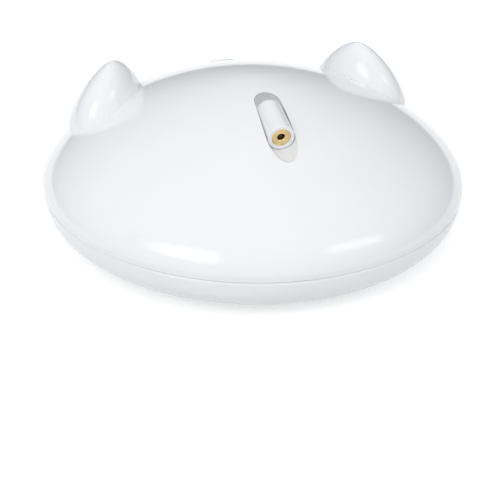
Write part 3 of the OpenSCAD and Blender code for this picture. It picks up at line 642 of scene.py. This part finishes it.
# ---- Laser barrel ----
# A white ABS tube with a ball-shaped rear end and a broken front edge. The blade under it goes
# through the slit and is pressed into the cradle's hub.
tube_round = 4.2
brass_r = 3.2
brass_len = 13.0
face_set = 0.3
mouth_edge = 0.4
bore_gap = 0.02
bore_past = 0.8
tilt_at = np.array([-14.747, 40.699])
blade_foot_r = 2.7


def beside_barrel(back, down):
    """A place beside the barrel's axis, back along it and down from it, as (y, z)."""
    x, y, z = on_barrel(np.array([[0, -down, -back]], float))[0]
    return np.array([y, z])


def plate(name, outline, low, high):
    """A plate cut to an outline of (y, z) places and as thick as from x = low to x = high."""
    outline = np.asarray(outline, float)
    rings = np.array([np.column_stack([np.full(len(outline), x), outline]) for x in (low, high)])
    middle = outline.mean(axis=0)
    return ring_solid(name, rings, [low, *middle], [high, *middle])


t = np.linspace(0, math.pi / 2, 20)
rear = np.column_stack([tube_r - tube_round + tube_round * np.sin(t),
                        -tube_len + tube_round - tube_round * np.cos(t)])
bore_r, bore_z = brass_r + bore_gap, -brass_len - face_set - bore_past
mouth = rounded([(tube_r, -2), (tube_r, 0), (bore_r, 0), (bore_r, -2)],
                [mouth_edge, mouth_edge / 2], 6)
tube_profile = np.vstack([[[0, -tube_len]], rear, mouth, [[bore_r, bore_z], [0, bore_z]]])
tube = turned("laser_barrel", tube_profile, 128, on_barrel)
blade_outline = [beside_barrel(blade_front, tube_r - rooted),
                 beside_barrel(blade_front + 1.5, tube_r + 2),
                 tilt_at - [blade_foot_r * 0.9, blade_foot_r * 0.3], tilt_at - [0, blade_foot_r],
                 tilt_at + [blade_foot_r, 0],
                 beside_barrel(tube_len - tube_round / 2, tube_r - 2 * rooted)]
blade = plate("blade", blade_outline, -blade_t / 2, blade_t / 2)
tube = carve(tube, blade, "UNION")
smooth_by_angle(tube, 50)
piece("barrel_tube", tube, abs_mat, "laser", "white_abs", "laser_barrel")

# ---- Laser module ----
# The sleeve is turned from brass bar and pressed into the barrel, which leaves its face with a
# small round hole in view. A moulded lens, its spring and the diode on its board are inside.

# Turned brass: a warm pale gold with the tool's fine rings, which spread its shine, and with
# small stains. The rings are drawn 0.58 mm apart, coarser than real ones, so that they show.
brass_light = "#f4dfaa"
brass_deep = "#dcbc7c"
brass_ring_pitch = 0.58
brass_ring_deep = 0.04
brass_stain = 1.92
# A wave texture repeats after this length at scale 1.
wave_length = 2 * math.pi / 20
brass_mat, tree = new_material("turned_brass")
where = add(tree, "TexCoord")
turned_axes = add(tree, "Mapping", {"Vector": (where, "Object"),
                                    "Location": (nose_at * MM).tolist(),
                                    "Rotation": (math.pi / 2 + barrel_pitch, 0.0, 0.0)},
                  vector_type="TEXTURE")
grooves = add(tree, "TexWave", {"Vector": (turned_axes, 0), "Distortion": 0.4,
                                "Scale": wave_length / (brass_ring_pitch * MM)},
              wave_type="RINGS", rings_direction="Z")
stain = add(tree, "TexNoise", {"Vector": (where, "Object"), "Scale": 1 / (brass_stain * MM),
                               "Detail": 3.0})
tint = add(tree, "Mix", {0: (stain, 0), 6: linear(brass_light), 7: linear(brass_deep)},
           data_type="RGBA")
dull = add(tree, "MapRange", {"Value": (grooves, "Fac"), "To Min": 0.24, "To Max": 0.42})
bump = add(tree, "Bump", {"Height": (grooves, "Fac"), "Strength": 0.35,
                          "Distance": brass_ring_deep * MM})
skin = add(tree, "BsdfPrincipled", {"Base Color": (tint, 2), "Metallic": 1.0,
                                    "Roughness": (dull, 0), "Normal": (bump, 0)})
add(tree, "OutputMaterial", {"Surface": (skin, 0)})

aperture_r = 1.2
aperture_edge = 0.3
groove = (2.62, 2.66, 2.78, 2.82)
groove_deep = 0.05
optic_r = 2.2
optic_gap = 0.06
face_t = 1.0
lens_t = 1.8
lens_crown_r = 1.5
lens_crown_h = 0.5
lens_spring_len = 3.2
face_z = -face_set
rear_z = face_z - brass_len
front = rounded([(aperture_r + aperture_edge, face_z), (groove[0], face_z),
                 (groove[1], face_z - groove_deep), (groove[2], face_z - groove_deep),
                 (groove[3], face_z), (brass_r, face_z), (brass_r, rear_z)],
                [0, 0, 0, 0, 0.22], 5)
sleeve = turned("brass_housing", np.vstack([[[0, face_z]], front, [[0, rear_z]]]), 96, on_barrel)
bore = plug(optic_r, rear_z - past, face_z - face_t)
sleeve = carve(sleeve, turned("bore", bore, 64, on_barrel))
hole = [(0, face_z - face_t - past), (aperture_r, face_z - face_t - past),
        (aperture_r, face_z - aperture_edge), (aperture_r + aperture_edge + 0.1, face_z + 0.1),
        (0, face_z + 0.1)]
sleeve = carve(sleeve, turned("hole", hole, 64, on_barrel))
smooth_by_angle(sleeve, 30)
piece("brass_sleeve", sleeve, brass_mat, "laser", "brass", "brass_housing")

# Moulded acrylic, ruby tinted as a filter for the red diode: clear to look into, with a dark
# warm depth that varies a little along its flow lines.
lens_flow = 1.11
lens_mat, tree = new_material("ruby_acrylic")
where = add(tree, "TexCoord")
flow = add(tree, "TexNoise", {"Vector": (where, "Object"), "Scale": 1 / (lens_flow * MM)})
tint = add(tree, "Mix", {0: (flow, 0), 6: linear("#7c3a3c"), 7: linear("#6a2c30")},
           data_type="RGBA")
skin = add(tree, "BsdfPrincipled", {"Base Color": (tint, 2), "Roughness": 0.06, "IOR": 1.49,
                                    "Transmission Weight": 0.85})
add(tree, "OutputMaterial", {"Surface": (skin, 0)})
inside_r = optic_r - optic_gap
lens_front = face_z - face_t - bore_gap
t = np.linspace(0, 1, 9)
dome = np.column_stack([lens_crown_r * t, lens_front - lens_crown_h * t ** 2])
lens_body = [(inside_r, lens_front - lens_crown_h - 0.05), (inside_r, lens_front - lens_t),
             (0, lens_front - lens_t)]
lens = turned("lens", np.vstack([dome, lens_body]), 48, on_barrel)
smooth_by_angle(lens, 40)
piece("lens", lens, lens_mat, "laser", "clear_acrylic", "collimating_lens")

# Bright nickel plating over drawn or pressed steel: a neutral, fairly sharp shine with fine
# drawing marks of 0.4 mm and cloudy handling marks of 4 mm.
steel_marks = 3.85
steel_lines = 0.385
steel_mat, tree = new_material("nickel_plated_steel")
where = add(tree, "TexCoord")
cloud = add(tree, "TexNoise", {"Vector": (where, "Object"), "Scale": 1 / (steel_marks * MM),
                               "Detail": 3.0})
lines = add(tree, "TexNoise", {"Vector": (where, "Object"), "Scale": 1 / (steel_lines * MM),
                               "Detail": 1.0})
tint = add(tree, "Mix", {0: (cloud, 0), 6: linear("#d3d5d8"), 7: linear("#b9bbbf")},
           data_type="RGBA")
dull = add(tree, "MapRange", {"Value": (cloud, 0), "To Min": 0.2, "To Max": 0.38})
bump = add(tree, "Bump", {"Height": (lines, 0), "Strength": 0.15, "Distance": 0.02 * MM})
skin = add(tree, "BsdfPrincipled", {"Base Color": (tint, 2), "Metallic": 1.0,
                                    "Roughness": (dull, 0), "Normal": (bump, 0)})
add(tree, "OutputMaterial", {"Surface": (skin, 0)})


def coil(name, radius, wire_r, height, turns, place, steps=24, sides=8):
    """A round wire wound about Z from 0 to height. Point (i, j) is at the turn a = 2 pi i / steps
    and the angle b round the wire: radius radius + wire_r cos b, height z(i) + wire_r sin b."""
    a = np.arange(turns * steps + 1)[:, None] / steps * 2 * np.pi
    b = np.arange(sides)[None] / sides * 2 * np.pi
    out = radius + wire_r * np.cos(b)
    z = wire_r + (height - 2 * wire_r) * a / a[-1] + wire_r * np.sin(b)
    rings = np.stack([out * np.cos(a), out * np.sin(a), z], axis=-1)
    placed = place(rings.reshape(-1, 3)).reshape(rings.shape)
    return ring_solid(name, placed, placed[0].mean(axis=0), placed[-1].mean(axis=0))


spring_z = lens_front - lens_t - lens_spring_len
spring_wire_r = 0.2
lens_coil = coil("lens_spring", optic_r - 2 * spring_wire_r, spring_wire_r,
                 lens_spring_len - 2 * bore_gap, 4, lambda p: on_barrel(p + [0, 0, spring_z]))
smooth_by_angle(lens_coil, 60)
piece("lens_coil", lens_coil, steel_mat, "laser", "plated_steel", "lens_spring")
can_r, can_h, pin_r, pins_low = 1.2, 1.8, 0.7, -2.6
base_t = 0.8
can = rounded([(0, can_h), (can_r, can_h), (can_r, 0.0), (inside_r, 0.0), (inside_r, -base_t),
               (pin_r, -base_t), (pin_r, pins_low), (0, pins_low)], [0.15, 0, 0.1, 0.1, 0, 0], 3)
diode = turned("laser_diode", can + [0, spring_z], 48, on_barrel)
smooth_by_angle(diode, 30)
piece("diode_can", diode, brass_mat, "laser", "brass", "laser_diode")

# ---- Circuit boards ----
# Glass-fibre boards with a green solder mask: a round one on the diode, a small one under the
# button and the main one on posts. Chip, transistor, capacitor and sockets are soldered on.

# Green solder mask over glass cloth: a satin green, in which the copper tracks show as lighter
# lines 1.9 mm apart and the cloth's threads of 0.4 mm as a faint grain. A brick texture's bricks
# are half its unit long.
thread = 0.417
track_pitch = 1.92
board_mat, tree = new_material("green_solder_mask")
where = add(tree, "TexCoord")
weave = add(tree, "TexChecker", {"Vector": (where, "Object"), "Scale": 1 / (thread * MM)})
tracks = add(tree, "TexBrick", {"Vector": (where, "Object"), "Scale": 0.5 / (track_pitch * MM),
                                "Mortar Size": 0.03, "Color1": (0, 0, 0, 1),
                                "Color2": (0, 0, 0, 1), "Mortar": (1, 1, 1, 1)})
tint = add(tree, "Mix", {0: (tracks, 0), 6: linear("#1f6b43"), 7: linear("#2f8656")},
           data_type="RGBA")
dull = add(tree, "MapRange", {"Value": (weave, "Fac"), "To Min": 0.3, "To Max": 0.36})
bump = add(tree, "Bump", {"Height": (weave, "Fac"), "Strength": 0.2, "Distance": 0.02 * MM})
skin = add(tree, "BsdfPrincipled", {"Base Color": (tint, 2), "Roughness": (dull, 0),
                                    "Normal": (bump, 0)})
add(tree, "OutputMaterial", {"Surface": (skin, 0)})
disc_t = 1.2
disc_z = spring_z - base_t + pins_low
disc_profile = rounded([(0, disc_z), (inside_r, disc_z), (inside_r, disc_z - disc_t),
                        (0, disc_z - disc_t)], [0.08, 0.08], 3)
diode_disc = turned("diode_board", disc_profile, 48, on_barrel)
smooth_by_angle(diode_disc, 30)
piece("diode_disc", diode_disc, board_mat, "laser", "green_board", "diode_board")


def dress(material, *nodes):
    """Gives CAD nodes, whose own solids show, their finish."""
    for node in nodes:
        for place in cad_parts[node].material_slots:
            place.material = material


plastic_cloud = 8.33


def plastic(name, light, shade, low, high, grain, depth):
    """A moulded plastic: two close colours in clouds of 8 mm, roughness from low to high, and a
    fine grain of that size and depth in mm."""
    made, tree = new_material(name)
    where = add(tree, "TexCoord")
    cloud = add(tree, "TexNoise", {"Vector": (where, "Object"), "Detail": 3.0,
                                   "Scale": 1 / (plastic_cloud * MM)})
    tint = add(tree, "Mix", {0: (cloud, 0), 6: linear(light), 7: linear(shade)}, data_type="RGBA")
    dull = add(tree, "MapRange", {"Value": (cloud, 0), "To Min": low, "To Max": high})
    pits = add(tree, "TexNoise", {"Vector": (where, "Object"), "Scale": 1 / (grain * MM),
                                  "Detail": 2.0})
    bump = add(tree, "Bump", {"Height": (pits, 0), "Strength": 0.4, "Distance": depth * MM})
    skin = add(tree, "BsdfPrincipled", {"Base Color": (tint, 2), "Roughness": (dull, 0),
                                        "Normal": (bump, 0)})
    add(tree, "OutputMaterial", {"Surface": (skin, 0)})
    return made


# Black epoxy is matt and finely pitted, ivory nylon waxy, and the capacitor's blue sleeve glossy.
chip_mat = plastic("black_epoxy", "#26272a", "#1c1d1f", 0.42, 0.6, 0.24, 0.04)
nylon_mat = plastic("ivory_nylon", "#e9e5d8", "#ded9ca", 0.35, 0.5, 0.38, 0.03)
sleeve_mat = plastic("blue_shrink_sleeve", "#27407c", "#1f3469", 0.2, 0.3, 0.71, 0.02)
dress(board_mat, "main_board", "switch_board")
dress(chip_mat, "control_chip", "power_transistor", "tact_switch", "switch_plunger")
dress(nylon_mat, "battery_socket", "motor_socket", "laser_socket")
dress(sleeve_mat, "capacitor")

# ---- Gear train ----
# Acetal gears on steel axles between two acetal plates. The cradle's toothed sector carries the
# barrel's blade. Spacers and screws hold the plates, and feet screw the box to the lower shell.

# Natural acetal, moulded: a milky white with a soft, slippery shine.
acetal_mat = plastic("natural_acetal", "#f1eee4", "#e6e2d5", 0.28, 0.42, 0.56, 0.02)
dress(acetal_mat, "laser_cradle", "second_gear", "first_gear", "gearbox_frame", "gearbox_cover",
      "motor_end_cap")
dress(steel_mat, "tilt_axle", "second_axle", "first_axle", "gearbox_screws", "gearbox_foot_screws",
      "switch_screws", "board_screws")

# ---- Motor ----
# A small flat-sided can motor with a brass pinion. The can is drawn steel, and the armature's
# laminations carry windings of enamelled copper.

# Enamelled copper wire, wound side by side: a deep red brown ridged every 0.35 mm, with a painted
# highlight along each wire's ridge and painted shade between the wires.
wire_pitch = 0.349
copper_mat, tree = new_material("enamelled_copper")
where = add(tree, "TexCoord")
wire_ridges_and_painted_sheen = add(tree, "TexWave", {"Vector": (where, "Object"), "Distortion": 1.0,
                                "Scale": wave_length / (wire_pitch * MM)},
              wave_type="BANDS", bands_direction="Y")
# Painted highlight and painted shade: the colour runs from dark brown between the wires to bright
# copper on their ridges, in step with the bump.
tint = add(tree, "Mix", {0: (wire_ridges_and_painted_sheen, "Fac"), 6: linear("#8c4a26"), 7: linear("#c7793f")},
           data_type="RGBA")
bump = add(tree, "Bump", {"Height": (wire_ridges_and_painted_sheen, "Fac"), "Strength": 0.6, "Distance": 0.1 * MM})
skin = add(tree, "BsdfPrincipled", {"Base Color": (tint, 2), "Metallic": 1.0, "Roughness": 0.32,
                                    "Normal": (bump, 0)})
add(tree, "OutputMaterial", {"Surface": (skin, 0)})
dress(steel_mat, "motor_can", "motor_shaft")
dress(brass_mat, "motor_pinion")
dress(copper_mat, "motor_armature")

# ---- Cells and contacts ----
# Three AAA cells in series, each a steel can in a plain dark shrink sleeve with a copper-coloured
# band. Springs and plates of nickel-plated steel stand in the bay's ends.
cell_nub_from = 23.2
cell_flat_to = -19.2
cell_band_from = 12.0
cell_marks = 3.33


def cell_finish(way):
    """The finish of a cell whose nub points along way x +X: a glossy dark sleeve with a band near
    the nub, and bare metal at both ends."""
    made, tree = new_material("cell_sleeve_plus" if way > 0 else "cell_sleeve_minus")
    where = add(tree, "TexCoord")
    split = add(tree, "SeparateXYZ", {"Vector": (where, "Object")})
    along = add(tree, "Math", {0: (split, "X"), 1: float(way)}, operation="MULTIPLY")
    nub = add(tree, "Math", {0: (along, 0), 1: cell_nub_from * MM}, operation="GREATER_THAN")
    flat = add(tree, "Math", {0: (along, 0), 1: cell_flat_to * MM}, operation="LESS_THAN")
    metal = add(tree, "Math", {0: (nub, 0), 1: (flat, 0)}, operation="MAXIMUM")
    band = add(tree, "Math", {0: (along, 0), 1: cell_band_from * MM}, operation="GREATER_THAN")
    cloud = add(tree, "TexNoise", {"Vector": (where, "Object"), "Scale": 1 / (cell_marks * MM)})
    sleeve = add(tree, "Mix", {0: (band, 0), 6: linear("#2c2e33"), 7: linear("#b9834c")},
                 data_type="RGBA")
    tint = add(tree, "Mix", {0: (metal, 0), 6: (sleeve, 2), 7: linear("#c8cacd")},
               data_type="RGBA")
    dull = add(tree, "MapRange", {"Value": (cloud, 0), "To Min": 0.2, "To Max": 0.34})
    bump = add(tree, "Bump", {"Height": (cloud, 0), "Strength": 0.1, "Distance": 0.1 * MM})
    skin = add(tree, "BsdfPrincipled", {"Base Color": (tint, 2), "Metallic": (metal, 0),
                                        "Roughness": (dull, 0), "Normal": (bump, 0)})
    add(tree, "OutputMaterial", {"Surface": (skin, 0)})
    return made


cell_plus_mat, cell_minus_mat = cell_finish(1), cell_finish(-1)
dress(cell_plus_mat, "cell_1", "cell_3")
dress(cell_minus_mat, "cell_2")
dress(steel_mat, "contact_springs", "contact_plates")

# ---- Power button ----
# A white ABS cap with a dished top that slides in the guide at the back of the dome. Its flange
# keeps it in, and its stem rests on the switch's plunger.
button_proud = 0.9
dish_r = 3.6
dish_deep = 0.5
flange_r = button_r + 1.3
flange_t = 1.0
flange_z = -3.3
stem_r = 1.4
stem_z = flange_z - flange_t - 1.6
t = np.linspace(0, 1, 10)
dish = np.column_stack([dish_r * t, button_proud - dish_deep + dish_deep * t ** 2])
rim = rounded([(dish_r, button_proud), (button_r, button_proud), (button_r, flange_z)], [0.5], 6)
cap = np.vstack([dish, rim[1:], [[flange_r, flange_z], [flange_r, flange_z - flange_t],
                                 [stem_r, flange_z - flange_t], [stem_r, stem_z], [0, stem_z]]])
button = turned("power_button", cap, 96, on_button)
smooth_by_angle(button, 35)
piece("button_cap", button, abs_mat, "power_button", "white_abs", "power_button")

# ---- Rubber feet ----
# Four soft grey rubber discs pressed into pockets of the lower shell, with a softened lower
# edge and a fine non-slip texture.
foot_gap = 0.05
foot_edge = 0.6
rubber_mat = plastic("grey_rubber", "#5b5c5f", "#4f5053", 0.62, 0.8, 0.33, 0.08)
foot = rounded(plug(foot_r - foot_gap, 0, foot_proud + foot_sunk), [foot_edge, 0.1], 6)
feet = None
for degrees in foot_dirs:
    x, y = on_circle(foot_circle_r, degrees)
    made = turned("rubber_feet", foot, 64, lambda p: p + [x, y, 0])
    feet = made if feet is None else carve(feet, made, "UNION")
smooth_by_angle(feet, 35)
piece("rubber_foot_discs", feet, rubber_mat, "housing", "grey_rubber", "rubber_feet")

# ---- Screws of the case and the door ----
# Nickel-plated pan heads with a cross recess: four at the bottom of the case's wells, and two
# captive ones that hold the battery door.
screw_r = 0.95
head_r = 2.1
cross_half = (1.15, 0.28)
cross_low = 0.35


def cross_screw(x, y, z, head_t, length):
    """A screw whose head hangs below the height z, with its shank going up."""
    profile = rounded([(0, -head_t), (head_r, -head_t), (head_r, 0), (screw_r, 0),
                       (screw_r, length), (0, length)], [0.6 * head_t, 0.1, 0, 0.2], 5)
    made = turned("screw", profile, 48, lambda p: p + [x, y, z])
    for half in (cross_half, cross_half[::-1]):
        made = carve(made, box((x - half[0], y - half[1], z - head_t - past),
                               (x + half[0], y + half[1], z - head_t * cross_low)))
    return made


door_screw_out = bay_l / 2 + 3.2
door_screw_y = (bay_y - door_screw_out, bay_y + door_screw_out)
case_set = [(*on_circle(case_screw_r, d), well_top, 1.4, 13.0) for d in case_screw_dirs]
door_set = [(0, y, foot_proud + door_t / 2, 0.8, 6.0) for y in door_screw_y]
sets = {"case_screws": case_set, "door_screws": door_set}
for name, body in (("case_screws", "housing"), ("door_screws", "battery_door")):
    made = None
    for screw in sets[name]:
        one = cross_screw(*screw)
        made = one if made is None else carve(made, one, "UNION")
    smooth_by_angle(made, 35)
    piece(name + "_plated", made, steel_mat, body, "plated_steel", name)

# ---- Battery door ----
# A flat white ABS cover let into the underside, with softened edges, countersunk places for
# its two screws and ribs inside that keep the cells from shifting.
edge = 0.25
corner_r = 1.2
rib_x = 11.125
rib_half_w = 0.8
rib_half_l = bay_l / 2 - 1
rib_h = 0.4
rib_rooted = 0.2
screw_gap = 0.3
head_gap = 0.2
t = np.radians([0, 30, 60, 90])
corner = np.column_stack([np.cos(t), np.sin(t)]) * corner_r
half_w, half_l = door_w / 2, door_l / 2
quarter = corner + [half_w - corner_r, half_l - corner_r]
turn = [quarter, (quarter * [-1, 1])[::-1], quarter * [-1, -1], (quarter * [1, -1])[::-1]]
outline = np.vstack(turn)
inward = outline * [1 - edge / half_w, 1 - edge / half_l]
levels = [(inward, foot_proud), (outline, foot_proud + edge), (outline, foot_proud + door_t)]
rings = np.array([np.column_stack([ring + [0, bay_y], np.full(len(ring), z)])
                  for ring, z in levels])
door_top = foot_proud + door_t
door = ring_solid("battery_door", rings, [0, bay_y, foot_proud], [0, bay_y, door_top])
for x in (-rib_x, rib_x):
    rib = box((x - rib_half_w, bay_y - rib_half_l, door_top - rib_rooted),
              (x + rib_half_w, bay_y + rib_half_l, door_top + rib_h))
    door = carve(door, rib, "UNION")
for y in door_screw_y:
    door = carve(door, disc(0, y, screw_r + screw_gap, 0, door_top + 2 * past))
    door = carve(door, disc(0, y, head_r + head_gap, 0, foot_proud + door_t / 2))
smooth_by_angle(door, 35)
piece("battery_door_cover", door, abs_mat, "battery_door", "white_abs", "battery_door")
